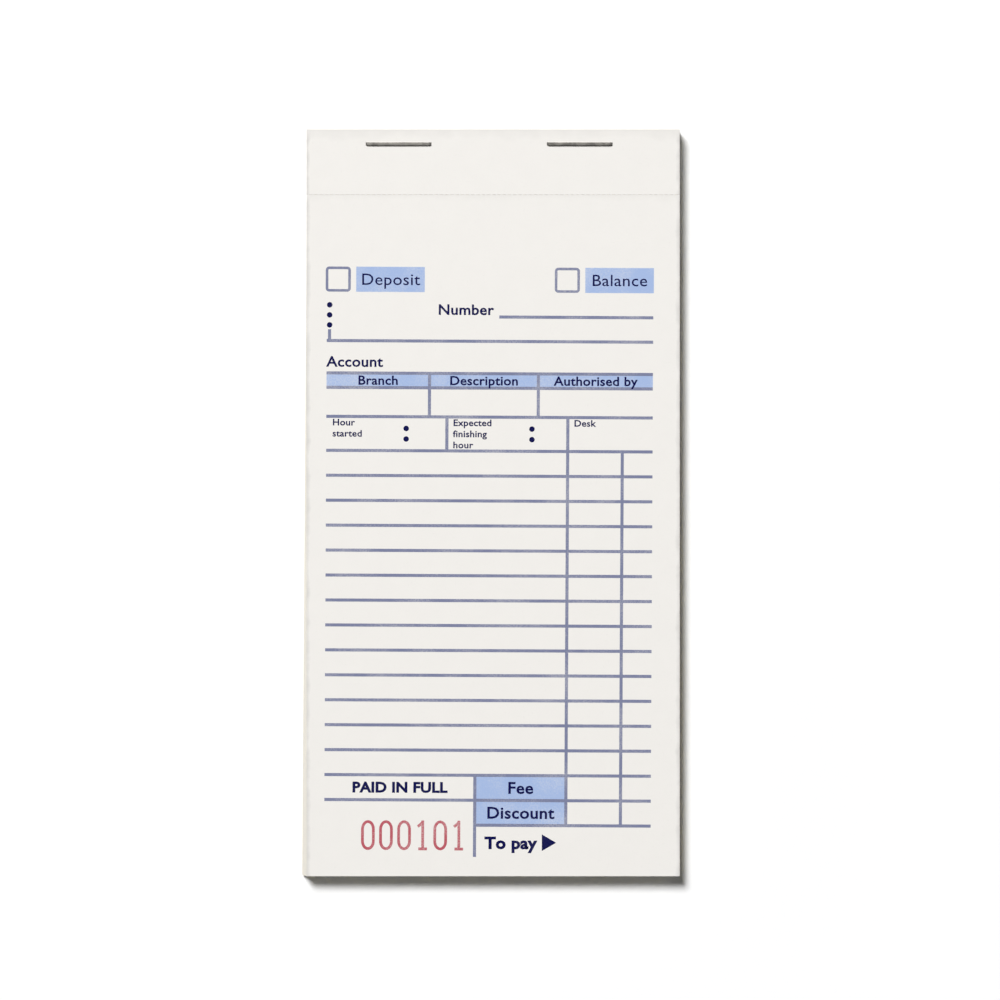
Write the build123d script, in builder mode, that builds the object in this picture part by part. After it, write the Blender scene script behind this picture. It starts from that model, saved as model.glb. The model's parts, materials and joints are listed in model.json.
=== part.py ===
"""Duplicate receipt pad: numbered sets of a white receipt and a yellow copy on a stiff back board.

Two wire staples hold the stub end. Every sheet is cut along a perforation, so its leaf turns or tears
off there while its stub stays under the staples. +Y runs towards the stapled end and +Z is up.
The origin is under the middle of the back board.
"""

import os

from build123d import *

# Sheets
SHEET_WIDTH = 85.7
SHEET_LENGTH = 171.5
STUB_LENGTH = 15.0
PERFORATION_GAP = 0.12
WHITE_THICKNESS = 0.09
YELLOW_THICKNESS = 0.08
SET_COUNT = 25

# Staples, bent from flattened wire
WIRE_WIDTH = 0.7
WIRE_THICKNESS = 0.5
WIRE_CORNER_RADIUS = 0.15
BEND_INNER_RADIUS = 0.025
LEG_SPACING = 14.5
CLINCH_LENGTH = 5.0
STAPLE_TOP_INSET = 3.4
STAPLE_LEFT_INSET = 13.9
STAPLE_RIGHT_INSET = 15.7

# Fits of the staples in the paper and the board
LEG_CLEARANCE = 0.05
CROWN_CLEARANCE = 0.02
CLINCH_RECESS = 0.02
BOARD_OVER_CLINCH = 0.23

# Heights, from the underside of the board
GROOVE_DEPTH = CLINCH_RECESS + WIRE_THICKNESS + LEG_CLEARANCE
BOARD_THICKNESS = GROOVE_DEPTH + BOARD_OVER_CLINCH
SET_THICKNESS = WHITE_THICKNESS + YELLOW_THICKNESS
STACK_TOP = BOARD_THICKNESS + SET_COUNT * SET_THICKNESS
CLINCH_HEIGHT = CLINCH_RECESS + WIRE_THICKNESS / 2
CROWN_HEIGHT = STACK_TOP + CROWN_CLEARANCE + WIRE_THICKNESS / 2

# Places along the pad
TOP_EDGE = SHEET_LENGTH / 2
PERFORATION_Y = TOP_EDGE - STUB_LENGTH
STUB_MIDDLE_Y = TOP_EDGE - STUB_LENGTH / 2
LEAF_LENGTH = SHEET_LENGTH - STUB_LENGTH - PERFORATION_GAP
LEAF_MIDDLE_Y = LEAF_LENGTH / 2 - SHEET_LENGTH / 2
STAPLE_Y = TOP_EDGE - STAPLE_TOP_INSET

# Staple legs across the pad: each staple's left leg, then its right leg
LEFT_STAPLE_X = STAPLE_LEFT_INSET - SHEET_WIDTH / 2
RIGHT_STAPLE_X = SHEET_WIDTH / 2 - STAPLE_RIGHT_INSET - LEG_SPACING
STAPLES = {"staple_left": LEFT_STAPLE_X, "staple_right": RIGHT_STAPLE_X}
LEG_POINTS = [(x + dx, STAPLE_Y) for x in STAPLES.values() for dx in (0, LEG_SPACING)]

# Cuts for the legs, and for the clinched ends, which turn in towards each other under the crown
CUT_WIDTH = WIRE_WIDTH + 2 * LEG_CLEARANCE
LEG_HOLE_LENGTH = WIRE_THICKNESS + 2 * LEG_CLEARANCE
GROOVE_LENGTH = CLINCH_LENGTH + WIRE_THICKNESS / 2 + 2 * LEG_CLEARANCE
GROOVE_MIDDLE = (CLINCH_LENGTH - WIRE_THICKNESS / 2) / 2
GROOVE_OFFSETS = (GROOVE_MIDDLE, LEG_SPACING - GROOVE_MIDDLE)
GROOVE_POINTS = [(x + dx, STAPLE_Y) for x in STAPLES.values() for dx in GROOVE_OFFSETS]


def white_bottom(set_number):
    """Height of the underside of a set's white sheet. Set 1 is on top."""
    return STACK_TOP - (set_number - 1) * SET_THICKNESS - WHITE_THICKNESS


def yellow_bottom(set_number):
    """Height of the underside of a set's yellow sheet, which lies under its white one."""
    return white_bottom(set_number) - YELLOW_THICKNESS


def save(part, name):
    """Name a finished piece and write it to its own file."""
    part.label = name
    export_step(part, f"parts/{name}.step")


def make_leaf(name, bottom, thickness):
    """The part of one sheet below the perforation, which turns over the stub."""
    with BuildPart() as leaf:
        with BuildSketch(Plane.XY.offset(bottom)):
            with Locations((0, LEAF_MIDDLE_Y)):
                Rectangle(SHEET_WIDTH, LEAF_LENGTH)
        extrude(amount=thickness)
    save(leaf.part, name)


def make_stubs(name, bottom_of_set, thickness):
    """The stubs of one colour, one strip for each set, pierced by the four staple legs."""
    with BuildPart() as stubs:
        for set_number in range(1, SET_COUNT + 1):
            with BuildSketch(Plane.XY.offset(bottom_of_set(set_number))):
                with Locations((0, STUB_MIDDLE_Y)):
                    Rectangle(SHEET_WIDTH, STUB_LENGTH)
                with Locations(*LEG_POINTS):
                    Rectangle(LEG_HOLE_LENGTH, CUT_WIDTH, mode=Mode.SUBTRACT)
        extrude(amount=thickness)
    save(stubs.part, name)


def make_staple(name, left_leg_x):
    """One bent wire: crown on the top stub, two legs through the pad, ends clinched under the board."""
    right_leg_x = left_leg_x + LEG_SPACING
    with BuildPart() as staple:
        with BuildLine(Plane.XZ.offset(-STAPLE_Y)) as wire:
            FilletPolyline(
                (left_leg_x + CLINCH_LENGTH, CLINCH_HEIGHT),
                (left_leg_x, CLINCH_HEIGHT),
                (left_leg_x, CROWN_HEIGHT),
                (right_leg_x, CROWN_HEIGHT),
                (right_leg_x, CLINCH_HEIGHT),
                (right_leg_x - CLINCH_LENGTH, CLINCH_HEIGHT),
                radius=WIRE_THICKNESS / 2 + BEND_INNER_RADIUS,
            )
        with BuildSketch(Plane(origin=wire.line @ 0, x_dir=(0, 1, 0), z_dir=wire.line % 0)):
            RectangleRounded(WIRE_WIDTH, WIRE_THICKNESS, WIRE_CORNER_RADIUS)
        sweep(path=wire.line)
    save(staple.part, name)


os.makedirs("parts", exist_ok=True)

# Stiff back board, with leg holes and a groove for each clinched end, so that it still lies flat
with BuildPart() as back_board:
    with BuildSketch(Plane.XY):
        Rectangle(SHEET_WIDTH, SHEET_LENGTH)
        with Locations(*LEG_POINTS):
            Rectangle(LEG_HOLE_LENGTH, CUT_WIDTH, mode=Mode.SUBTRACT)
    extrude(amount=BOARD_THICKNESS)
    with BuildSketch(Plane.XY):
        with Locations(*GROOVE_POINTS):
            Rectangle(GROOVE_LENGTH, CUT_WIDTH)
    extrude(amount=GROOVE_DEPTH, mode=Mode.SUBTRACT)
save(back_board.part, "back_board")

# Stapled ends of the sheets
make_stubs("white_stubs", white_bottom, WHITE_THICKNESS)
make_stubs("yellow_stubs", yellow_bottom, YELLOW_THICKNESS)

# Leaves, from the top set down
for number in range(1, SET_COUNT + 1):
    make_leaf(f"white_receipt_{number:02d}", white_bottom(number), WHITE_THICKNESS)
    make_leaf(f"yellow_copy_{number:02d}", yellow_bottom(number), YELLOW_THICKNESS)

# Wire staples
for staple_name, leg_x in STAPLES.items():
    make_staple(staple_name, leg_x)
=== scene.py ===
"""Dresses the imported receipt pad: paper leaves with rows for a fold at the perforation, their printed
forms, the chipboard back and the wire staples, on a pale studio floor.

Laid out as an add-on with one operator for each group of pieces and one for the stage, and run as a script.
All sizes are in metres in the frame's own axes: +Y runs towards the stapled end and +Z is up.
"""

import json
import math
import random

import bpy
from bpy.props import FloatProperty, FloatVectorProperty, IntProperty, PointerProperty
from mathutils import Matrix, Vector

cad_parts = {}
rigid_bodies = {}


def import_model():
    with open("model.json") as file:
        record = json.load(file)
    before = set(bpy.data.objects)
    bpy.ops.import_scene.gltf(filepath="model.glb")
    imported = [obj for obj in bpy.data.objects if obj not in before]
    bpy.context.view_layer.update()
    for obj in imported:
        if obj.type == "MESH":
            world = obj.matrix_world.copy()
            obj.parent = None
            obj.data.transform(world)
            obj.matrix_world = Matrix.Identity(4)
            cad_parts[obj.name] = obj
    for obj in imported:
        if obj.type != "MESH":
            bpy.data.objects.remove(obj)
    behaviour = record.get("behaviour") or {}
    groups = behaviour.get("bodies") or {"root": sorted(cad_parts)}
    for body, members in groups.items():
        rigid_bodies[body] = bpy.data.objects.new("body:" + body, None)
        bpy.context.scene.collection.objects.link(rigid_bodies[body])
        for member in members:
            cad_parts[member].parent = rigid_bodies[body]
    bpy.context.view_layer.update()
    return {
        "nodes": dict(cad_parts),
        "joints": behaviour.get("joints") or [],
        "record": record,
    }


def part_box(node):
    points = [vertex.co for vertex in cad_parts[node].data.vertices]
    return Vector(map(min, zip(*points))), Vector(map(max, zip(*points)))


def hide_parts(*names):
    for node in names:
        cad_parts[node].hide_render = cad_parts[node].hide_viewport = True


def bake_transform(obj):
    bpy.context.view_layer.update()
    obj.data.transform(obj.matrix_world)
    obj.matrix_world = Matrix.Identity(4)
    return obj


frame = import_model()

bl_info = {
    "name": "Receipt pad",
    "version": (1, 0, 0),
    "blender": (4, 5, 0),
    "location": "View3D > Sidebar > Receipt pad",
    "description": "Dresses a stapled pad of numbered two-part forms with paper, print, board and wire",
    "category": "Object",
}

MM = 0.001
BLACK = (0, 0, 0, 1)
WHITE = (1, 1, 1, 1)

# What the frame says about the pad
BODY_NODES = frame["record"]["behaviour"]["bodies"]
CARRIER = {joint["child"]: joint["parent"] for joint in frame["joints"]}
LEAF_BODY = {node: body for body in CARRIER for node in BODY_NODES[body]}
STACK = sorted(LEAF_BODY, key=lambda node: -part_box(node)[1].z)
SET_COUNT = max(int(node[-2:]) for node in STACK)
BOTTOM_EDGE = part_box("back_board")[0].y
TOP_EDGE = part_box("white_stubs")[1].y
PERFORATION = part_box("white_stubs")[0].y
PAD_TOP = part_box("white_stubs")[1].z
HALF_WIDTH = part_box("white_stubs")[1].x
STAPLE_LINE = sum(corner.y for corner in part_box("staple_left")) / 2


def linear(red, green, blue):
    """A colour given as 0 to 255 display values, in Blender's linear light."""
    shares = (value / 255 for value in (red, green, blue))
    return tuple(s / 12.92 if s <= 0.04045 else ((s + 0.055) / 1.055) ** 2.4 for s in shares)


def length(name, description, millimetres):
    """A length setting, written here in millimetres and kept in metres."""
    return FloatProperty(
        name=name, description=description, default=millimetres * MM, unit="LENGTH", precision=5
    )


def angle(name, description, degrees):
    """An angle setting, written here in degrees and kept in radians."""
    return FloatProperty(
        name=name, description=description, default=math.radians(degrees), unit="ROTATION"
    )


def colour(name, description, red, green, blue):
    """A colour setting, written here as display values."""
    return FloatVectorProperty(
        name=name, description=description, default=linear(red, green, blue), subtype="COLOR", min=0, max=1
    )


def power(name, description, watts):
    """A setting for the power of a lamp."""
    return FloatProperty(name=name, description=description, default=watts, min=0, unit="POWER")


def share(name, description, part):
    """A setting for a share of full strength."""
    return FloatProperty(name=name, description=description, default=part, min=0, max=1, subtype="FACTOR")


def whole_number(name, description, number, least=0):
    """A setting that is a whole number."""
    return IntProperty(name=name, description=description, default=number, min=least)


class PaperSettings(bpy.types.PropertyGroup):
    """Paper, board and wire, and how the sheets lie and fold."""

    white: colour("White paper", "Receipt paper", 243, 240, 235)
    yellow: colour("Yellow paper", "Copy paper", 241, 227, 157)
    board: colour("Chipboard", "Back board", 158, 147, 130)
    wire: colour("Wire", "Staple wire", 120, 117, 112)
    # The side rim is painted shade at the pad's edge with some dulling; the head and tear rims are painted
    # shade
    side_shade_rim: length("Shaded dull side", "How far the dulled side of a sheet reaches in", 0.9)
    head_shade_rim: length("Shaded head", "How far the dulled head of a stub reaches in", 2.4)
    tear_shade_rim: length("Shaded tear line", "How far a leaf is pressed dull at its perforation", 1.6)
    fold_length: length("Fold length", "Paper that curls over when a leaf is turned back", 5.0)
    fold_rows: whole_number("Fold rows", "Faces along the fold", 18, 4)
    sheet_gap: length("Sheet gap", "Air between two sheets", 0.015)
    slit_width: length("Slit width", "Width of the perforation cuts", 0.05)
    cut_length: length("Cut length", "Length of one perforation cut", 0.8)
    tie_length: length("Tie length", "Paper left between two cuts", 0.4)
    fan: length("Fan", "How far the lowest sheet has swung to the left at its foot", 0.9)
    stray: length("Stray", "How far the foot of a sheet strays from the even fan", 0.3)
    seed: whole_number("Seed", "Start of the random draws", 7)


class FormSettings(bpy.types.PropertyGroup):
    """Layout and inks of the printed form. A drop is measured down from the sheet's top edge."""

    rule_ink: colour("Rule ink", "Ruled lines and boxes", 126, 131, 160)
    word_ink: colour("Word ink", "Captions", 6, 10, 72)
    tint_ink: colour("Tint", "Tinted panels on white paper", 168, 189, 228)
    copy_tint_ink: colour("Tint on the copy", "Tinted panels on yellow paper", 162, 182, 158)
    number_ink: colour("Number ink", "Serial number", 188, 92, 103)
    ink_height: length("Ink height", "How far the highest print stands on the paper", 0.009)
    ink_depth: length("Ink depth", "How far the print soaks into the paper", 0.01)
    skew: angle("Skew", "How far the print is turned on the sheet", -0.3)
    rule_width: length("Rule width", "Width of the ruled lines", 0.72)
    box_rule_width: length("Box rule width", "Width of the check boxes' lines", 0.6)
    left: length("Left end", "Left end of the ruled lines, from the middle", -38.4)
    right: length("Right end", "Right end of the ruled lines, from the middle", 36.55)

    box_size: length("Check box", "Side of a check box", 5.17)
    box_round: length("Check box corners", "Radius of a check box's corners", 0.5)
    box_drop: length("Check box drop", "Top of the check boxes", 32.0)
    second_box: length("Second box", "Left side of the second check box, from the middle", 14.2)
    label_gap: length("Label gap", "From a check box to its tinted label", 1.53)
    label_width: length("Label width", "Width of a tinted label", 15.75)
    label_letters: length("Label letters", "Height of the labels' capitals", 2.75)

    number_line: length("Number line", "Drop of the short line at the right", 43.1)
    number_line_left: length("Number line left", "Left end of that line, from the middle", 1.2)
    account_line: length("Account line", "Drop of the line under it", 48.7)
    line_letters: length("Line letters", "Height of the capitals beside the lines", 2.45)
    caption_gap: length("Caption gap", "From a caption to what it stands before", 1.3)
    caption_lift: length("Caption lift", "From a caption's foot to the line under it", 0.5)
    caption_rise: length("Caption rise", "How far a caption stands above the middle of its cell", 0.1)
    account_drop: length("Account drop", "Foot of the caption above the tinted band", 54.64)
    mark_drop: length("Mark drop", "First of the spots above the account line's left end", 40.5)
    mark_pitch: length("Mark pitch", "From one spot to the next", 2.3)
    mark_count: whole_number("Marks", "Spots above the account line's left end", 3)
    mark_width: length("Mark width", "Width of a spot", 1.28)
    tick_height: length("Tick height", "Upright at the account line's left end", 2.6)

    band_drop: length("Band drop", "Top of the tinted band", 56.12)
    band_height: length("Band height", "Height of the tinted band", 3.32)
    band_letters: length("Band letters", "Height of the band's capitals", 2.15)
    first_divider: length("First divider", "First upright in the band, from the middle", -14.74)
    second_divider: length("Second divider", "Second upright in the band, from the middle", 10.25)

    hours_drop: length("Hours drop", "Line above the row of hours", 66.1)
    hours_divider: length("Hours divider", "Upright in the row of hours, from the middle", -10.7)
    small_letters: length("Small letters", "Height of the capitals in the row of hours", 1.55)
    small_pitch: length("Small pitch", "From one small line of lettering to the next", 2.55)
    small_inset: length("Small inset", "From an upright to the small lettering", 1.4)
    first_colon: length("First colon", "Colon of the first hour, from the middle", -20.05)
    second_colon: length("Second colon", "Colon of the second hour, from the middle", 8.83)
    colon_spread: length("Colon spread", "From one spot of a colon to the other", 2.42)

    rows_drop: length("Rows drop", "Line above the ruled rows", 73.9)
    row_pitch: length("Row pitch", "From one ruled row to the next", 5.727)
    row_count: whole_number("Rows", "Ruled rows, with the rows of totals", 15, 4)
    total_rows: whole_number("Total rows", "Rows that hold the totals", 2, 1)
    total_letters: length("Total letters", "Height of the totals' capitals", 2.75)
    note_letters: length("Note letters", "Height of the capitals beside the totals", 2.4)
    total_divider: length("Total divider", "Upright left of the totals, from the middle", -3.86)
    total_foot: length("Total foot", "Drop of the foot of that upright", 167.1)
    first_column: length("First column", "Upright before the amounts, from the middle", 17.06)
    second_column: length("Second column", "Upright between whole and small amounts", 29.6)
    amount_drop: length("Amount drop", "Middle of the last caption and its arrow", 163.75)
    arrow_width: length("Arrow width", "Width of the arrow at the amount", 3.3)
    arrow_height: length("Arrow height", "Height of the arrow at the amount", 3.8)
    arrow_left: length("Arrow left", "Left side of the arrow, from the middle", 11.6)

    number_left: length("Number left", "Left side of the serial number, from the middle", -29.6)
    number_drop: length("Number drop", "Top of the serial number", 159.1)
    digit_height: length("Digit height", "Height of the serial number", 6.2)
    digit_width: length("Digit width", "Width of one digit", 2.5)
    digit_pitch: length("Digit pitch", "From one digit to the next", 4.15)
    digit_stroke: length("Digit stroke", "Width of the digits' lines", 0.65)
    first_number: whole_number("First number", "Number of the top set", 101, 1)


class StageSettings(bpy.types.PropertyGroup):
    """Floor, lamps and camera."""

    floor: colour("Floor", "Studio floor", 255, 255, 255)
    floor_lift: share("Floor lift", "Glow that keeps the floor white round the pad", 0.034)
    outer_lift: share("Outer lift", "Glow that keeps it white at the picture's corners", 0.06)
    picture_width: length("Picture width", "Width seen at the top of the pad", 229.6)
    aim_x: length("Aim X", "Where the camera looks", 1.58)
    aim_y: length("Aim Y", "Where the camera looks", 0.63)
    camera_height: length("Camera height", "From the top of the pad", 1000.0)
    key_power: power("Key power", "Power of the key lamp", 429.0)
    lamp_distance: length("Lamp distance", "From the pad to either lamp", 6000.0)
    lamp_size: length("Lamp size", "Side of either lamp", 2000.0)
    key_elevation: angle("Key elevation", "Height of the key lamp above the horizon", 55.0)
    key_turn: angle("Key turn", "Direction of the key lamp, from +X towards +Y", 120.0)
    fill_power: power("Fill power", "Power of the low fill lamp", 60.0)
    fill_light: colour("Fill light", "Colour of the low fill lamp", 210, 224, 255)
    fill_elevation: angle("Fill elevation", "Height of the fill lamp above the horizon", 6.0)
    fill_turn: angle("Fill turn", "Direction of the fill lamp, from +X towards +Y", -15.0)
    ambient: share("Ambient", "Light from the surrounding room", 0.02)


# Shader nodes

# Kinds of sockets on a node group
FLOAT = "NodeSocketFloat"
COLOUR = "NodeSocketColor"

# Places of the colour sockets on a mix node, where sockets of other kinds have the same names
FIRST_COLOUR = 6
SECOND_COLOUR = 7
MIXED_COLOUR = 2


def feed(tree, socket, value):
    """Links a socket to another one, or sets it to a plain value."""
    if isinstance(value, bpy.types.NodeSocket):
        tree.links.new(value, socket)
    else:
        socket.default_value = value


def add_place(tree):
    """Where a point lies on its own piece, along the frame's axes."""
    return tree.nodes.new("ShaderNodeTexCoord").outputs["Object"]


def add_noise(tree, place, scale, detail, stretch=None):
    """Noise over a piece, stretched along some axes. Scale is a number or a socket."""
    noise = tree.nodes.new("ShaderNodeTexNoise")
    noise.inputs["Detail"].default_value = detail
    feed(tree, noise.inputs["Scale"], scale)
    if stretch:
        mapping = tree.nodes.new("ShaderNodeMapping")
        mapping.inputs["Scale"].default_value = stretch
        tree.links.new(place, mapping.inputs["Vector"])
        place = mapping.outputs["Vector"]
    tree.links.new(place, noise.inputs["Vector"])
    return noise.outputs["Fac"]


def add_math(tree, operation, first, second):
    """A math node on two sockets or numbers."""
    node = tree.nodes.new("ShaderNodeMath")
    node.operation = operation
    feed(tree, node.inputs[0], first)
    feed(tree, node.inputs[1], second)
    return node.outputs[0]


def add_mix(tree, factor, first, second):
    """A colour between two others, each a socket or a colour with its alpha."""
    node = tree.nodes.new("ShaderNodeMix")
    node.data_type = "RGBA"
    tree.links.new(factor, node.inputs[0])
    feed(tree, node.inputs[FIRST_COLOUR], first)
    feed(tree, node.inputs[SECOND_COLOUR], second)
    return node.outputs[MIXED_COLOUR]


def add_range(tree, value, span, ends=(0, 1)):
    """A value stretched from a span to the two ends given, and held there."""
    node = tree.nodes.new("ShaderNodeMapRange")
    for name, number in zip(("From Min", "From Max", "To Min", "To Max"), (*span, *ends)):
        node.inputs[name].default_value = number
    tree.links.new(value, node.inputs["Value"])
    return node.outputs["Result"]


def add_bump(tree, shader, height, depth):
    """Relief of the given depth on a shader's normal."""
    bump = tree.nodes.new("ShaderNodeBump")
    bump.inputs["Distance"].default_value = depth
    tree.links.new(height, bump.inputs["Height"])
    tree.links.new(bump.outputs["Normal"], shader.inputs["Normal"])


def add_group(tree, group, values):
    """A node group placed in a material with its own values: what it puts out."""
    node = tree.nodes.new("ShaderNodeGroup")
    node.node_tree = group
    for name, value in values.items():
        feed(tree, node.inputs[name], value)
    return node.outputs


def new_group(name, inputs, outputs):
    """An empty shader node group and its two ends, from its inputs' defaults and its outputs' kinds."""
    group = bpy.data.node_groups.new(name, "ShaderNodeTree")
    for socket_name, default in inputs.items():
        kind = COLOUR if isinstance(default, tuple) else FLOAT
        socket = group.interface.new_socket(socket_name, in_out="INPUT", socket_type=kind)
        socket.default_value = default
    for socket_name, kind in outputs.items():
        group.interface.new_socket(socket_name, in_out="OUTPUT", socket_type=kind)
    start = group.nodes.new("NodeGroupInput").outputs
    end = group.nodes.new("NodeGroupOutput").inputs
    return group, start, end


def new_material(name):
    """A material with only a Principled shader: its tree and that shader."""
    material = bpy.data.materials.new(name)
    material.use_nodes = True
    return material, material.node_tree, material.node_tree.nodes["Principled BSDF"]


def shade(tint, factor):
    """A colour made darker or lighter by a factor, with its alpha."""
    return (*(min(1.0, channel * factor) for channel in tint), 1)


# Finishes

# Pulp: how fine its fibres and clouds are, the spans of noise over which clouds and strands come in,
# their shades, how rough it is off and on a fibre, its sheen and the depth of its relief
WRITING_PAPER = {
    "scales": {"Fibre Scale": 2600.0, "Cloud Scale": 220.0},
    "clouds": (0.35, 0.65),
    "cloud_shades": (0.994, 1.004),
    "strands": (0.62, 0.8),
    "strand_shade": 0.965,
    "roughness": (0.9, 0.72),
    "sheen": 0.15,
    "relief": 0.012 * MM,
}
CHIPBOARD = {
    "scales": {"Fibre Scale": 900.0, "Cloud Scale": 120.0},
    "clouds": (0.3, 0.7),
    "cloud_shades": (0.86, 1.1),
    "strands": (0.58, 0.78),
    "strand_shade": 0.68,
    "roughness": (0.95, 0.78),
    "sheen": 0.2,
    "relief": 0.04 * MM,
}

# The span of noise from off to on a fibre, and the scale along a fibre to that across it
FIBRE_SPAN = (0.4, 0.75)
FIBRE_STRETCH = 0.3

# Dark and pale flecks in the chipboard: scale, stretch, the span of noise where they come in, and shade
BOARD_FLECKS = (
    (1500.0, (1, 0.45, 1), (0.68, 0.74), 0.3),
    (1100.0, (0.4, 1, 1), (0.69, 0.75), 1.7),
)

# Painted shade along the rims, with some dulling at the sides: how fine its noise is, the span of noise
# that it takes, how far that moves a rim in shares of its reach, and how much light the painted shade
# leaves on the sides of the sheets, the head of the stubs and the tear line
RIM_NOISE_SCALE = 260.0
RIM_NOISE_SPAN = (0.3, 0.7)
RIM_STRAY = (-0.35, 0.35)
SIDE_PAINTED_SHADE = 0.8
HEAD_PAINTED_SHADE = 0.93
TEAR_PAINTED_SHADE = 0.955

# Ink: how fine its grain and patches are, where they leave it thin, its roughness over the grain, its
# sheen, and how much of the paper each layer still hides where it lies thin
INK_GRAIN_SCALE = 3000.0
INK_PATCH_SCALE = 130.0
INK_THIN_SPAN = (0.2, 0.42)
INK_GRAIN_SPAN = (0.3, 0.7)
INK_ROUGHNESS = (0.5, 0.75)
INK_SHEEN = 0.05
INK_COVER = {"tints": 0.7, "rules": 0.75, "number": 0.6, "captions": 0.985}

# Wire: its drawn streaks and the patches of tarnish on it
STREAK_SCALE = 9000.0
STREAK_STRETCH = (0.04, 1, 1)
STREAK_SPAN = (0.35, 0.65)
STREAK_SHADES = (0.7, 1.15)
TARNISH_SCALE = 700.0
TARNISH_SPAN = (0.42, 0.62)
TARNISH_SHADE = 0.45
WIRE_ROUGHNESS = (0.3, 0.55)
WIRE_RELIEF = 0.01 * MM


def paper_fibre_group():
    """Short crossed fibres and the soft clouds of pulp between them."""
    name = "Paper fibre"
    if name in bpy.data.node_groups:
        return bpy.data.node_groups[name]
    group, start, end = new_group(name, WRITING_PAPER["scales"], {"Fibre": FLOAT, "Cloud": FLOAT})
    place = add_place(group)
    scale = start["Fibre Scale"]
    along = add_noise(group, place, scale, detail=3, stretch=(FIBRE_STRETCH, 1, 1))
    across = add_noise(group, place, scale, detail=3, stretch=(1, FIBRE_STRETCH, 1))
    cloud = add_noise(group, place, start["Cloud Scale"], detail=4)
    group.links.new(add_math(group, "MAXIMUM", along, across), end["Fibre"])
    group.links.new(cloud, end["Cloud"])
    return group


def edge_shade_and_wear_group():
    """A rim of painted shade along one edge, made uneven by noise. Across is measured towards the edge."""
    name = "Edge wear"
    if name in bpy.data.node_groups:
        return bpy.data.node_groups[name]
    group, start, end = new_group(name, {"Across": 0.0, "Edge": 0.0, "Reach": 0.0}, {"Rim": FLOAT})
    inset = add_math(group, "SUBTRACT", start["Edge"], start["Across"])
    depth = add_math(group, "DIVIDE", inset, start["Reach"])
    noise = add_noise(group, add_place(group), RIM_NOISE_SCALE, detail=3)
    ragged = add_math(group, "ADD", depth, add_range(group, noise, RIM_NOISE_SPAN, RIM_STRAY))
    group.links.new(add_range(group, ragged, (0, 1), (1, 0)), end["Rim"])
    return group


def ink_lay_group():
    """Ink that lies unevenly: full in most places, thin where the paper's fibres took less of it."""
    name = "Ink lay"
    if name in bpy.data.node_groups:
        return bpy.data.node_groups[name]
    inputs = {"Full Ink": BLACK, "Thin Ink": WHITE, "Grain Scale": INK_GRAIN_SCALE}
    group, start, end = new_group(name, inputs, {"Colour": COLOUR, "Gloss": FLOAT})
    place = add_place(group)
    grain = add_noise(group, place, start["Grain Scale"], detail=4)
    patch = add_noise(group, place, INK_PATCH_SCALE, detail=2)
    thin = add_range(group, add_math(group, "MULTIPLY", grain, patch), INK_THIN_SPAN)
    group.links.new(add_mix(group, thin, start["Full Ink"], start["Thin Ink"]), end["Colour"])
    group.links.new(add_range(group, grain, INK_GRAIN_SPAN, INK_ROUGHNESS), end["Gloss"])
    return group


def add_pulp(tree, shader, tint, pulp):
    """Gives a shader the feel of pulp, and returns the pulp's colour."""
    pattern = add_group(tree, paper_fibre_group(), pulp["scales"])
    fibre = pattern["Fibre"]
    tree.links.new(add_range(tree, fibre, FIBRE_SPAN, pulp["roughness"]), shader.inputs["Roughness"])
    shader.inputs["Specular IOR Level"].default_value = pulp["sheen"]
    add_bump(tree, shader, fibre, pulp["relief"])
    dark, pale = pulp["cloud_shades"]
    cloud = add_range(tree, pattern["Cloud"], pulp["clouds"])
    clouded = add_mix(tree, cloud, shade(tint, dark), shade(tint, pale))
    strand = add_range(tree, fibre, pulp["strands"])
    return add_mix(tree, strand, clouded, shade(tint, pulp["strand_shade"]))


def paper_material(name, tint, paper, is_stub):
    """Uncoated writing paper with painted shade along its sides, a stub's head and a leaf's perforation,
    and some dulling at the sides.
    """
    if name in bpy.data.materials:
        return bpy.data.materials[name]
    material, tree, shader = new_material(name)
    surface = add_pulp(tree, shader, tint, WRITING_PAPER)
    split = tree.nodes.new("ShaderNodeSeparateXYZ")
    tree.links.new(add_place(tree), split.inputs["Vector"])
    off_middle = add_math(tree, "ABSOLUTE", split.outputs["X"], 0)
    # Painted shade, with some dulling, along both sides of the sheet
    rims = [(off_middle, HALF_WIDTH, paper.side_shade_rim, SIDE_PAINTED_SHADE)]
    if is_stub:
        # Painted shade along a stub's head, on its top and its cut end
        rims.append((split.outputs["Y"], TOP_EDGE, paper.head_shade_rim, HEAD_PAINTED_SHADE))
    else:
        # Painted shade along the crease at the perforation, measured both ways, so that it stays there when
        # the leaf is turned over
        off_tear = add_math(tree, "SUBTRACT", split.outputs["Y"], PERFORATION)
        inset = add_math(tree, "ABSOLUTE", off_tear, 0)
        rims.append((add_math(tree, "MULTIPLY", inset, -1), 0, paper.tear_shade_rim, TEAR_PAINTED_SHADE))
    for across, edge, reach, factor in rims:
        rim_shading = add_group(tree, edge_shade_and_wear_group(), {"Across": across, "Edge": edge, "Reach": reach})
        surface = add_mix(tree, rim_shading["Rim"], surface, shade(tint, factor))
    tree.links.new(surface, shader.inputs["Base Color"])
    return material


def board_material(tint):
    """Grey chipboard: coarse recycled pulp with dark and pale flecks."""
    material, tree, shader = new_material("Grey chipboard")
    surface = add_pulp(tree, shader, tint, CHIPBOARD)
    place = add_place(tree)
    for scale, stretch, span, factor in BOARD_FLECKS:
        fleck = add_range(tree, add_noise(tree, place, scale, detail=1, stretch=stretch), span)
        surface = add_mix(tree, fleck, surface, shade(tint, factor))
    tree.links.new(surface, shader.inputs["Base Color"])
    return material


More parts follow.
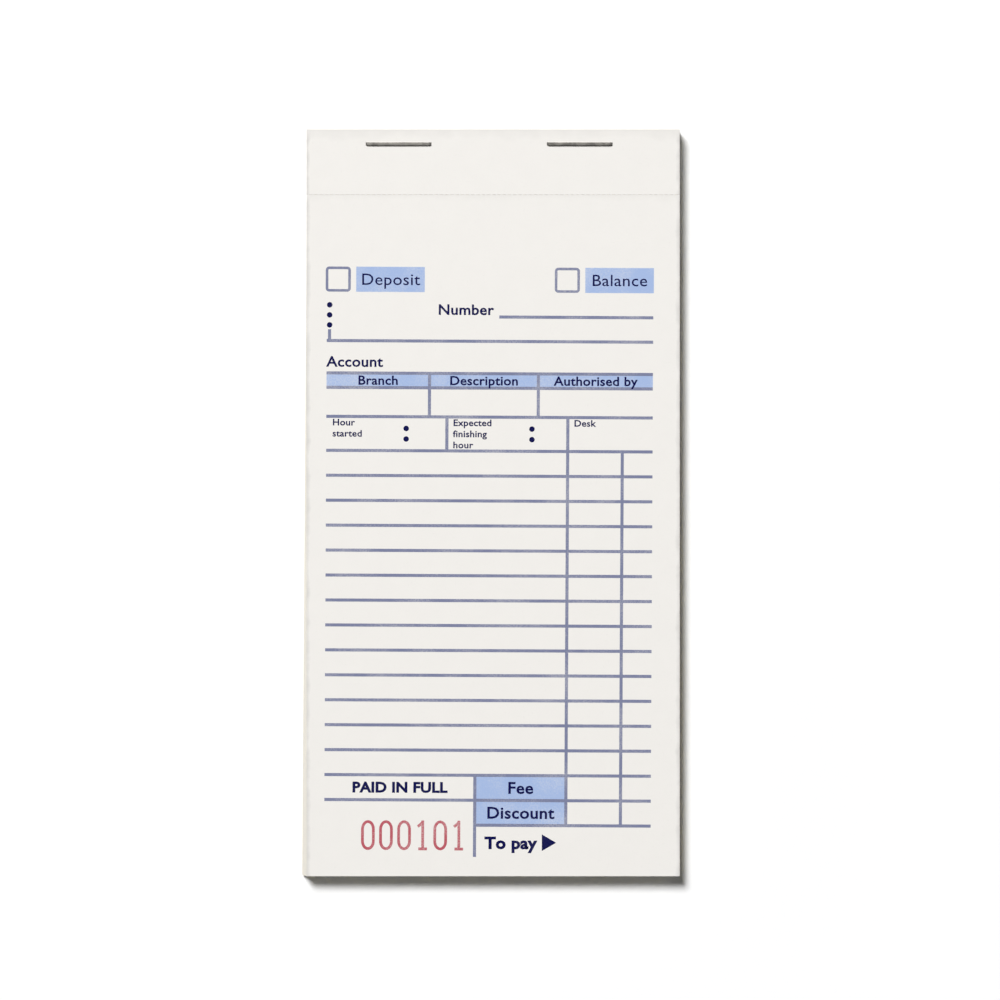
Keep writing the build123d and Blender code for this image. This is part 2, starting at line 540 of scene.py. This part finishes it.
def wire_material(tint):
    """Drawn steel wire: fine streaks along the crown and dull tarnished patches."""
    material, tree, shader = new_material("Staple wire")
    place = add_place(tree)
    streak = add_noise(tree, place, STREAK_SCALE, detail=3, stretch=STREAK_STRETCH)
    tarnish = add_range(tree, add_noise(tree, place, TARNISH_SCALE, detail=4), TARNISH_SPAN)
    dark, pale = STREAK_SHADES
    drawn = add_mix(tree, add_range(tree, streak, STREAK_SPAN), shade(tint, dark), shade(tint, pale))
    surface = add_mix(tree, tarnish, drawn, shade(tint, TARNISH_SHADE))
    tree.links.new(surface, shader.inputs["Base Color"])
    tree.links.new(add_range(tree, tarnish, (0, 1), WIRE_ROUGHNESS), shader.inputs["Roughness"])
    shader.inputs["Metallic"].default_value = 1.0
    add_bump(tree, shader, streak, WIRE_RELIEF)
    return material


def ink_material(name, ink, paper, cover):
    """Printing ink on paper. Cover is how much of the paper the thin patches still hide."""
    if name in bpy.data.materials:
        return bpy.data.materials[name]
    material, tree, shader = new_material(name)
    thin = tuple(i * cover + p * (1 - cover) for i, p in zip(ink, paper))
    lay = add_group(tree, ink_lay_group(), {"Full Ink": (*ink, 1), "Thin Ink": (*thin, 1)})
    tree.links.new(lay["Colour"], shader.inputs["Base Color"])
    tree.links.new(lay["Gloss"], shader.inputs["Roughness"])
    shader.inputs["Specular IOR Level"].default_value = INK_SHEEN
    return material


def finish_node(node, material):
    """Gives a CAD node its finish."""
    piece = frame["nodes"][node]
    for material_slot in piece.material_slots:
        material_slot.material = material


# Thin plates and sheets

# Faces that meet at more than this shade with a sharp edge
SHARP_ANGLE = math.radians(40)

# How much of a cut a sheet starts with at its side, as shares between which each sheet draws its own
FIRST_CUT = (0.1, 0.9)


class PlateMesh:
    """Gathers thin closed plates and makes them one object."""

    def __init__(self):
        self.points = []
        self.faces = []

    def add(self, outline, loops, bottom, top):
        """One plate. Its faces are loops of places in the outline, anticlockwise seen from above."""
        upper = len(self.points)
        lower = upper + len(outline)
        self.points += [(x, y, top) for x, y in outline]
        self.points += [(x, y, bottom) for x, y in outline]
        edges = set()
        for loop in loops:
            self.faces.append([upper + i for i in loop])
            self.faces.append([lower + i for i in reversed(loop)])
            edges.update(zip(loop, loop[1:] + loop[:1]))
        for a, b in sorted(edges):
            if (b, a) not in edges:
                self.faces.append([upper + a, lower + a, lower + b, upper + b])

    def make(self, name, material):
        """The finished object, in the scene. It shades smoothly across its rows, and its rims stay sharp.
        """
        mesh = bpy.data.meshes.new(name)
        mesh.from_pydata(self.points, [], self.faces)
        mesh.validate()
        mesh.shade_smooth()
        mesh.set_sharp_from_angle(angle=SHARP_ANGLE)
        mesh.materials.append(material)
        piece = bpy.data.objects.new(name, mesh)
        bpy.context.scene.collection.objects.link(piece)
        return piece


def swing_of(node, paper):
    """How far a sheet's foot has swung sideways about the staples. The two sheets of a set swing alike."""
    set_number = int(node[-2:])
    if set_number == 1:
        return 0.0
    depth = (set_number - 1) / (SET_COUNT - 1)
    stray = random.Random(paper.seed + set_number).uniform(-1, 1) * paper.stray
    return stray - depth * paper.fan


def swung(x, y, swing):
    """A point of a sheet, moved with the sheet's swing."""
    return x + swing * (STAPLE_LINE - y) / (STAPLE_LINE - BOTTOM_EDGE), y


def fold_places(paper):
    """Places up a fold, between which it turns by even steps as it eases in and out."""
    turns = [1 - i / paper.fold_rows for i in range(paper.fold_rows)]
    # How far along a smooth step each of these shares of its turn is reached
    shares = [0.5 - math.sin(math.asin(1 - 2 * turn) / 3) for turn in turns]
    return [PERFORATION - part * paper.fold_length for part in shares]


def add_leaf(plates, node, paper):
    """One leaf from its foot to the stub, with rows laid out for a fold and a comb of ties at the
    perforation.
    """
    low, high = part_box(node)
    slit_y = PERFORATION - paper.slit_width
    fold = fold_places(paper)
    # One row below the fold keeps the shading of the flat part level
    level_y = 2 * fold[0] - fold[1]
    outline = [(x, y) for y in (low.y, level_y, *fold) for x in (low.x, high.x)]
    loops = [[i, i + 1, i + 3, i + 2] for i in range(0, len(outline) - 2, 2)]

    pitch = paper.cut_length + paper.tie_length
    phase = random.Random(node).uniform(*FIRST_CUT) * paper.cut_length
    tie_count = int((high.x - low.x - phase) / pitch)
    tie_ends = [low.x + phase + pitch * i + d for i in range(tie_count) for d in (0, paper.tie_length)]
    last_row = len(outline) - 2
    comb = len(outline)
    comb_ends = [low.x, *tie_ends, high.x]
    outline += [(x, slit_y) for x in comb_ends]
    loops.append([last_row, last_row + 1, *range(comb + len(comb_ends) - 1, comb - 1, -1)])
    tips = len(outline)
    outline += [(x, PERFORATION) for x in tie_ends]
    for i in range(0, len(tie_ends), 2):
        loops.append([comb + 1 + i, comb + 2 + i, tips + i + 1, tips + i])

    swing = swing_of(node, paper)
    plates.add([swung(x, y, swing) for x, y in outline], loops, low.z + paper.sheet_gap, high.z)


def fold_with(piece):
    """Bakes the placement of a sheet, or of the print on it, into its mesh."""
    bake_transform(piece)


def sheet_finish(node, paper):
    """The slot and material of a leaf or of the stubs, by its colour."""
    is_stub = node.endswith("stubs")
    part = "stub" if is_stub else "leaf"
    if node.startswith("white"):
        return "white_paper", paper_material(f"White {part} paper", paper.white, paper, is_stub)
    return "yellow_paper", paper_material(f"Yellow {part} paper", paper.yellow, paper, is_stub)


def make_leaves(name, nodes, paper):
    """One piece that stands for some leaves of one colour on one body."""
    plates = PlateMesh()
    for node in nodes:
        add_leaf(plates, node, paper)
    slot, material = sheet_finish(nodes[0], paper)
    piece = plates.make(name, material)
    fold_with(piece)
    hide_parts(*nodes)


# Print

# The most that a stroke's corner may be drawn out, as the least cosine of half its turn
CORNER_LIMIT = 0.5

# Sides of a round spot, and steps round the corner of a check box
SPOT_SIDES = 24
CORNER_STEPS = 4

# A digit's stroke whose ends are closer than this, in a cell one wide, is a closed ring
RING_GAP = 0.01


def stroke_loops(path, width, closed):
    """The outline and faces of a line of even width along a path."""
    outline = []
    count = len(path)
    for i, (x, y) in enumerate(path):
        before = path[i - 1] if i or closed else path[0]
        after = path[(i + 1) % count] if i < count - 1 or closed else path[-1]
        into = Vector((x - before[0], y - before[1])).normalized()
        out = Vector((after[0] - x, after[1] - y)).normalized()
        along = (into + out).normalized()
        side = Vector((-along.y, along.x)) * width / 2
        side /= max(CORNER_LIMIT, along.dot(out if out.length else into))
        outline += [(x + side.x, y + side.y), (x - side.x, y - side.y)]
    spans = range(count if closed else count - 1)
    loops = [[2 * i, 2 * i + 1, (2 * i + 3) % (2 * count), (2 * i + 2) % (2 * count)] for i in spans]
    return outline, loops


def arc(x, y, half_width, half_height, start, end, steps=14):
    """Points on part of an ellipse. Angles are in degrees, anticlockwise from the right."""
    turns = [math.radians(start + (end - start) * i / steps) for i in range(steps + 1)]
    return [(x + half_width * math.cos(t), y + half_height * math.sin(t)) for t in turns]


# Strokes of each digit in a cell one wide and one high
DIGIT_STROKES = {
    "0": [arc(0.5, 0.72, 0.5, 0.28, 0, 180) + arc(0.5, 0.28, 0.5, 0.28, 180, 360) + [(1, 0.72)]],
    "1": [[(0.55, 1.05), (0.55, 0)], [(0.1, 0.82), (0.55, 0.98)], [(0.15, 0), (0.95, 0)]],
    "2": [arc(0.5, 0.72, 0.48, 0.28, 165, -35) + [(0, 0), (1, 0)]],
    "3": [arc(0.47, 0.76, 0.45, 0.24, 160, -90) + arc(0.47, 0.27, 0.5, 0.27, 85, -160)],
    "4": [[(1, 0.28), (0, 0.28), (0.7, 1), (0.7, 0)]],
    "5": [[(0.92, 1), (0.12, 1), (0.06, 0.54)] + arc(0.48, 0.32, 0.5, 0.32, 125, -150)],
    "6": [arc(0.6, 0.6, 0.56, 0.4, 70, 175) + arc(0.5, 0.3, 0.48, 0.3, 180, 535)],
    "7": [[(0, 1), (1, 1), (0.35, 0)]],
    "8": [arc(0.5, 0.76, 0.42, 0.24, -90, 270), arc(0.5, 0.27, 0.5, 0.27, 90, 450)],
    "9": [arc(0.4, 0.4, 0.56, 0.4, 250, 355) + arc(0.5, 0.7, 0.48, 0.3, 0, 355)],
}

# How high each layer of ink stands, as a share of the ink height, and the step where shapes cross
LAYER_RISE = {"tints": 0.3, "rules": 0.5, "number": 0.5, "captions": 0.9}
OVERPRINT = 0.15

# Plain lettering: height of a bold capital in a line one unit high, steps along a letter's curves,
# how far medium, bold and heavy outlines are fattened, and how much letters are widened and spread
CAPITAL_HEIGHT = 0.729
LETTER_STEPS = 3
MEDIUM = 0.004
BOLD = 0.022
HEAVY = 0.042
LETTER_WIDTH = 1.08
LETTER_SPREAD = 1.04


class FormSheet:
    """Draws one form on one leaf. Places are x from the middle and the drop from the sheet's top edge."""

    def __init__(self, node, form, paper):
        self.form = form
        self.middle = (TOP_EDGE + BOTTOM_EDGE) / 2
        self.swing = swing_of(node, paper)
        self.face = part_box(node)[1].z
        self.plates = {}

    def place(self, x, drop):
        """A point of the form on the leaf as it lies."""
        y = TOP_EDGE - drop - self.middle
        cosine, sine = math.cos(self.form.skew), math.sin(self.form.skew)
        return swung(x * cosine - y * sine, self.middle + x * sine + y * cosine, self.swing)

    def ink(self, layer, outline, loops, over=0.0):
        """Adds a printed shape to a layer of ink. Over lifts it where it crosses others of its layer."""
        places = [self.place(x, drop) for x, drop in outline]
        plates = self.plates.setdefault(layer, PlateMesh())
        rise = self.form.ink_height * (LAYER_RISE[layer] + over)
        plates.add(places, loops, self.face - self.form.ink_depth, self.face + rise)

    def panel(self, layer, left, right, top, bottom, over=0.0):
        """A filled rectangle."""
        self.ink(layer, [(left, bottom), (right, bottom), (right, top), (left, top)], [[0, 1, 2, 3]], over)

    def rule_across(self, left, right, drop):
        """A level ruled line."""
        half = self.form.rule_width / 2
        self.panel("rules", left, right, drop - half, drop + half)

    def rule_down(self, x, top, bottom):
        """An upright ruled line."""
        half = self.form.rule_width / 2
        self.panel("rules", x - half, x + half, top, bottom, OVERPRINT)

    def stroke(self, layer, path, width, closed=False, over=0.0):
        """A line of even width along a path."""
        outline, loops = stroke_loops([(x, -drop) for x, drop in path], width, closed)
        self.ink(layer, [(x, -y) for x, y in outline], loops, over)

    def dot(self, layer, x, drop, width):
        """A round spot."""
        last = 360 - 360 / SPOT_SIDES
        ring = arc(x, drop, width / 2, width / 2, 0, last, SPOT_SIDES - 1)
        spot = [(px, 2 * drop - py) for px, py in ring]
        self.ink(layer, spot, [list(range(len(spot)))])

    def words(self, text, x, drop, height, align="CENTER", bold=BOLD):
        """A caption with its baseline at the drop. Height is that of its capitals."""
        outline, loops = letter_shapes(text, align, bold)
        scale = height / CAPITAL_HEIGHT
        self.ink("captions", [(x + px * scale, drop - py * scale) for px, py in outline], loops)

    def words_in(self, text, left, right, top, bottom, height, bold=BOLD):
        """A caption in the middle of a cell."""
        baseline = (top + bottom + height) / 2 - self.form.caption_rise
        self.words(text, (left + right) / 2, baseline, height, bold=bold)


def letter_shapes(text, align, bold):
    """Flat outlines of a line of plain lettering, one unit high, and their faces."""
    letters = bpy.data.curves.new("letters", "FONT")
    letters.body = text
    letters.align_x = align
    letters.resolution_u = LETTER_STEPS
    letters.offset = bold
    letters.space_character = LETTER_SPREAD
    holder = bpy.data.objects.new("letters", letters)
    mesh = bpy.data.meshes.new_from_object(holder)
    outline = [(point.co.x * LETTER_WIDTH, point.co.y) for point in mesh.vertices]
    loops = [list(face.vertices) for face in mesh.polygons]
    if mesh.polygons[0].normal.z < 0:
        loops = [list(reversed(loop)) for loop in loops]
    bpy.data.objects.remove(holder)
    bpy.data.curves.remove(letters)
    bpy.data.meshes.remove(mesh)
    return outline, loops


def rounded_square(left, top, side, radius):
    """Points round a square with rounded corners, in the form's places."""
    low, high = radius, side - radius
    centres = ((high, high, -90), (high, low, 0), (low, low, 90), (low, high, 180))
    corners = [arc(x, -y, radius, radius, turn, turn + 90, CORNER_STEPS) for x, y, turn in centres]
    return [(left + x, top - y) for corner in corners for x, y in corner]


def draw_check_boxes(sheet, form):
    """Two check boxes, each with a tinted label beside it."""
    top, bottom = form.box_drop, form.box_drop + form.box_size
    half = form.box_rule_width / 2
    for left, word in ((form.left, "Deposit"), (form.second_box, "Balance")):
        square = rounded_square(left, top, form.box_size, form.box_round)
        sheet.stroke("rules", square, form.box_rule_width, closed=True)
        start = left + form.box_size + form.label_gap
        end = start + form.label_width
        sheet.panel("tints", start, end, top - half, bottom + half)
        sheet.words_in(word, start, end, top, bottom, form.label_letters, MEDIUM)


def draw_head(sheet, form):
    """The lines between the check boxes and the tinted band."""
    caption_end = form.number_line_left - form.caption_gap
    sheet.words("Number", caption_end, form.number_line - form.caption_lift, form.line_letters, "RIGHT")
    sheet.rule_across(form.number_line_left, form.right, form.number_line)
    mark_x = form.left + form.mark_width / 2
    for mark in range(form.mark_count):
        sheet.dot("captions", mark_x, form.mark_drop + mark * form.mark_pitch, form.mark_width)
    sheet.rule_down(mark_x, form.account_line - form.tick_height, form.account_line)
    sheet.rule_across(form.left, form.right, form.account_line)
    sheet.words("Account", form.left, form.account_drop, form.line_letters, "LEFT")


def draw_band(sheet, form):
    """The tinted band with its three captions, and the bare cells under it."""
    bottom = form.band_drop + form.band_height
    sheet.panel("tints", form.left, form.right, form.band_drop, bottom)
    for drop in (form.band_drop, bottom, form.hours_drop):
        sheet.rule_across(form.left, form.right, drop)
    edges = (form.left, form.first_divider, form.second_divider, form.right)
    for x in edges[1:-1]:
        sheet.rule_down(x, form.band_drop, form.hours_drop)
    for left, right, word in zip(edges, edges[1:], ("Branch", "Description", "Authorised by")):
        sheet.words_in(word, left, right, form.band_drop, bottom, form.band_letters)


def draw_hours(sheet, form):
    """The row with two hours and the till."""
    sheet.rule_down(form.hours_divider, form.hours_drop, form.rows_drop)
    captions = {
        form.left: ("Hour", "started"),
        form.hours_divider: ("Expected", "finishing", "hour"),
        form.first_column: ("Desk",),
    }
    for left, lines in captions.items():
        for line, word in enumerate(lines):
            drop = form.hours_drop + form.small_letters / 2 + (line + 0.5) * form.small_pitch
            sheet.words(word, left + form.small_inset, drop, form.small_letters, "LEFT")
    middle = (form.hours_drop + form.rows_drop) / 2
    for x in (form.first_colon, form.second_colon):
        for side in (-0.5, 0.5):
            sheet.dot("captions", x, middle + side * form.colon_spread, form.mark_width)


def draw_rows(sheet, form):
    """The ruled rows with two columns for amounts, and the totals at their foot."""
    foot = form.rows_drop + form.row_count * form.row_pitch
    totals = form.rows_drop + (form.row_count - form.total_rows) * form.row_pitch
    for row in range(form.row_count):
        sheet.rule_across(form.left, form.right, form.rows_drop + row * form.row_pitch)
    sheet.rule_across(form.total_divider, form.right, foot)
    sheet.rule_down(form.first_column, form.hours_drop, foot)
    sheet.rule_down(form.second_column, form.rows_drop, foot)
    sheet.rule_down(form.total_divider, totals, form.total_foot)
    for row, word in enumerate(("Fee", "Discount")):
        top = totals + row * form.row_pitch
        bottom = top + form.row_pitch
        sheet.panel("tints", form.total_divider, form.first_column, top, bottom)
        sheet.words_in(word, form.total_divider, form.first_column, top, bottom, form.total_letters)
    cell = (form.left, form.total_divider, totals, totals + form.row_pitch)
    sheet.words_in("PAID IN FULL", *cell, form.note_letters, HEAVY)


def draw_amount(sheet, form):
    """The last caption, with an arrow that points at the amount."""
    middle = form.amount_drop
    baseline = middle + form.total_letters / 2
    sheet.words("To pay", form.arrow_left - form.caption_gap, baseline, form.total_letters, "RIGHT", HEAVY)
    low, high = middle + form.arrow_height / 2, middle - form.arrow_height / 2
    tip = (form.arrow_left + form.arrow_width, middle)
    sheet.ink("captions", [(form.arrow_left, low), tip, (form.arrow_left, high)], [[0, 1, 2]])


def draw_number(sheet, form, number):
    """The serial number, in the thin upright digits of a numbering wheel."""
    for place, digit in enumerate(f"{number:06d}"):
        left = form.number_left + place * form.digit_pitch
        for order, path in enumerate(DIGIT_STROKES[digit]):
            closed = math.dist(path[0], path[-1]) < RING_GAP
            points = path[:-1] if closed else path
            across = [left + x * form.digit_width for x, y in points]
            drops = [form.number_drop + (1 - y) * form.digit_height for x, y in points]
            sheet.stroke("number", list(zip(across, drops)), form.digit_stroke, closed, order * OVERPRINT)


def print_form(node, form, paper):
    """Prints the whole form on a leaf, one piece for each ink."""
    sheet = FormSheet(node, form, paper)
    for draw in (draw_check_boxes, draw_head, draw_band, draw_hours, draw_rows, draw_amount):
        draw(sheet, form)
    draw_number(sheet, form, form.first_number + int(node[-2:]) - 1)
    slot, _ = sheet_finish(node, paper)
    is_white = node.startswith("white")
    ground = paper.white if is_white else paper.yellow
    tint = form.tint_ink if is_white else form.copy_tint_ink
    side = "white" if is_white else "yellow"
    inks = {
        "rules": ("Rule ink", form.rule_ink),
        "captions": ("Caption ink", form.word_ink),
        "tints": ("Tint", tint),
        "number": ("Number ink", form.number_ink),
    }
    for layer, plates in sheet.plates.items():
        kind, ink = inks[layer]
        material = ink_material(f"{kind} on {side}", ink, ground, INK_COVER[layer])
        piece = plates.make(f"{node}_{layer}", material)
        fold_with(piece)


# Stage

# Half the floor's side and how far the camera sees, in metres, and the width of its sensor in millimetres
FLOOR_HALF = 3.0
CAMERA_REACH = 20.0
SENSOR_WIDTH = 36.0


def add_lamp(stage, name, watts, elevation, turn):
    """A square soft lamp that looks at the middle of the pad."""
    lamp = bpy.data.lights.new(name, "AREA")
    lamp.energy = watts
    lamp.size = stage.lamp_size
    holder = bpy.data.objects.new(name, lamp)
    level = stage.lamp_distance * math.cos(elevation)
    height = stage.lamp_distance * math.sin(elevation)
    holder.location = (level * math.cos(turn), level * math.sin(turn), height)
    holder.rotation_mode = "QUATERNION"
    holder.rotation_quaternion = (-holder.location).to_track_quat("-Z", "Y")
    bpy.context.scene.collection.objects.link(holder)
    return lamp


def shown_rays(tree):
    """1 for what the camera sees, also in a reflection, and 0 for the light that falls on things."""
    path = tree.nodes.new("ShaderNodeLightPath").outputs
    shown = add_math(tree, "MAXIMUM", path["Is Camera Ray"], path["Is Glossy Ray"])
    return add_math(tree, "MAXIMUM", shown, path["Is Transmission Ray"])


def floor_material(stage):
    """A matt pale floor. It takes the pad's shadow, and a small glow that only shows keeps it white."""
    material, tree, shader = new_material("Studio floor")
    shader.inputs["Base Color"].default_value = (*stage.floor, 1)
    shader.inputs["Roughness"].default_value = 1.0
    shader.inputs["Specular IOR Level"].default_value = 0.0
    shader.inputs["Emission Color"].default_value = WHITE
    reach = tree.nodes.new("ShaderNodeVectorMath")
    reach.operation = "LENGTH"
    tree.links.new(add_place(tree), reach.inputs[0])
    fade = (TOP_EDGE, stage.picture_width / math.sqrt(2))
    lift = add_range(tree, reach.outputs["Value"], fade, (stage.floor_lift, stage.outer_lift))
    glow = add_math(tree, "MULTIPLY", shown_rays(tree), lift)
    tree.links.new(glow, shader.inputs["Emission Strength"])
    return material


def set_world(stage):
    """A dim room that shows white to the camera and in reflections."""
    world = bpy.data.worlds.new("Studio")
    world.use_nodes = True
    tree = world.node_tree
    background = tree.nodes["Background"]
    background.inputs["Color"].default_value = WHITE
    strength = add_range(tree, shown_rays(tree), (0, 1), (stage.ambient, 1))
    tree.links.new(strength, background.inputs["Strength"])
    bpy.context.scene.world = world


def add_floor(stage):
    """A wide level floor under the pad."""
    mesh = bpy.data.meshes.new("floor")
    corners = [(x * FLOOR_HALF, y * FLOOR_HALF, 0) for x, y in ((-1, -1), (1, -1), (1, 1), (-1, 1))]
    mesh.from_pydata(corners, [], [[0, 1, 2, 3]])
    mesh.materials.append(floor_material(stage))
    floor = bpy.data.objects.new("floor", mesh)
    bpy.context.scene.collection.objects.link(floor)


def add_camera(stage):
    """A long lens straight above the pad, with the stapled end at the top of the picture."""
    camera = bpy.data.cameras.new("camera")
    camera.sensor_width = SENSOR_WIDTH
    camera.lens = camera.sensor_width * stage.camera_height / stage.picture_width
    camera.clip_end = CAMERA_REACH
    holder = bpy.data.objects.new("camera", camera)
    holder.location = (stage.aim_x, stage.aim_y, PAD_TOP + stage.camera_height)
    bpy.context.scene.collection.objects.link(holder)
    bpy.context.scene.camera = holder


# Operators


class RECEIPT_PAD_OT_back_board(bpy.types.Operator):
    """Finish the back board in grey chipboard"""

    bl_idname = "receipt_pad.back_board"
    bl_label = "Back board"
    bl_options = {"REGISTER", "UNDO"}

    def execute(self, context):
        finish_node("back_board", board_material(context.scene.pad_paper.board))
        return {"FINISHED"}


class RECEIPT_PAD_OT_stubs(bpy.types.Operator):
    """Finish the white and yellow stubs in paper"""

    bl_idname = "receipt_pad.stubs"
    bl_label = "Stubs"
    bl_options = {"REGISTER", "UNDO"}

    def execute(self, context):
        for node in ("white_stubs", "yellow_stubs"):
            slot, material = sheet_finish(node, context.scene.pad_paper)
            finish_node(node, material)
        return {"FINISHED"}


class RECEIPT_PAD_OT_staples(bpy.types.Operator):
    """Finish both staples in drawn wire"""

    bl_idname = "receipt_pad.staples"
    bl_label = "Staples"
    bl_options = {"REGISTER", "UNDO"}

    def execute(self, context):
        material = wire_material(context.scene.pad_paper.wire)
        for node in ("staple_left", "staple_right"):
            finish_node(node, material)
        return {"FINISHED"}


class RECEIPT_PAD_OT_single_leaves(bpy.types.Operator):
    """Make the top leaves, which turn one by one"""

    bl_idname = "receipt_pad.single_leaves"
    bl_label = "Single leaves"
    bl_options = {"REGISTER", "UNDO"}

    def execute(self, context):
        for body in CARRIER:
            nodes = BODY_NODES[body]
            if len(nodes) == 1:
                make_leaves(f"{nodes[0]}_sheet", nodes, context.scene.pad_paper)
        return {"FINISHED"}


class RECEIPT_PAD_OT_sections(bpy.types.Operator):
    """Make the lower leaves, which turn as sections"""

    bl_idname = "receipt_pad.sections"
    bl_label = "Sections"
    bl_options = {"REGISTER", "UNDO"}

    def execute(self, context):
        for body in CARRIER:
            nodes = BODY_NODES[body]
            if len(nodes) == 1:
                continue
            for side in ("white", "yellow"):
                leaves = [node for node in nodes if node.startswith(side)]
                make_leaves(f"{body}_{side}_sheets", leaves, context.scene.pad_paper)
        return {"FINISHED"}


class RECEIPT_PAD_OT_forms(bpy.types.Operator):
    """Print the form on the top leaf of every body that turns"""

    bl_idname = "receipt_pad.forms"
    bl_label = "Printed forms"
    bl_options = {"REGISTER", "UNDO"}

    def execute(self, context):
        for body in CARRIER:
            top_leaf = min(BODY_NODES[body], key=STACK.index)
            print_form(top_leaf, context.scene.pad_form, context.scene.pad_paper)
        return {"FINISHED"}


class RECEIPT_PAD_OT_stage(bpy.types.Operator):
    """Set the floor, the lamps, the room and the camera"""

    bl_idname = "receipt_pad.stage"
    bl_label = "Stage"
    bl_options = {"REGISTER", "UNDO"}

    def execute(self, context):
        stage = context.scene.pad_stage
        add_floor(stage)
        set_world(stage)
        add_lamp(stage, "key_lamp", stage.key_power, stage.key_elevation, stage.key_turn)
        fill = add_lamp(stage, "fill_lamp", stage.fill_power, stage.fill_elevation, stage.fill_turn)
        fill.color = stage.fill_light
        add_camera(stage)
        context.scene.view_settings.view_transform = "Standard"
        return {"FINISHED"}


class RECEIPT_PAD_PT_sidebar(bpy.types.Panel):
    """Lists the pad's operators and settings"""

    bl_idname = "RECEIPT_PAD_PT_sidebar"
    bl_label = "Receipt pad"
    bl_space_type = "VIEW_3D"
    bl_region_type = "UI"
    bl_category = "Receipt pad"

    def draw(self, context):
        for operator in OPERATORS:
            self.layout.operator(operator.bl_idname)
        for group in (context.scene.pad_paper, context.scene.pad_form, context.scene.pad_stage):
            box = self.layout.box()
            for name in group.bl_rna.properties.keys():
                if name not in ("rna_type", "name"):
                    box.prop(group, name)


SETTINGS = {"pad_paper": PaperSettings, "pad_form": FormSettings, "pad_stage": StageSettings}
OPERATORS = (
    RECEIPT_PAD_OT_back_board,
    RECEIPT_PAD_OT_stubs,
    RECEIPT_PAD_OT_staples,
    RECEIPT_PAD_OT_single_leaves,
    RECEIPT_PAD_OT_sections,
    RECEIPT_PAD_OT_forms,
    RECEIPT_PAD_OT_stage,
)
CLASSES = (*SETTINGS.values(), *OPERATORS, RECEIPT_PAD_PT_sidebar)


def register():
    for item in CLASSES:
        bpy.utils.register_class(item)
    for name, group in SETTINGS.items():
        setattr(bpy.types.Scene, name, PointerProperty(type=group))


def unregister():
    for name in SETTINGS:
        delattr(bpy.types.Scene, name)
    for item in reversed(CLASSES):
        bpy.utils.unregister_class(item)


def main():
    register()
    bpy.ops.receipt_pad.back_board()
    bpy.ops.receipt_pad.stubs()
    bpy.ops.receipt_pad.staples()
    bpy.ops.receipt_pad.single_leaves()
    bpy.ops.receipt_pad.sections()
    bpy.ops.receipt_pad.forms()
    bpy.ops.receipt_pad.stage()


if __name__ == "__main__":
    main()
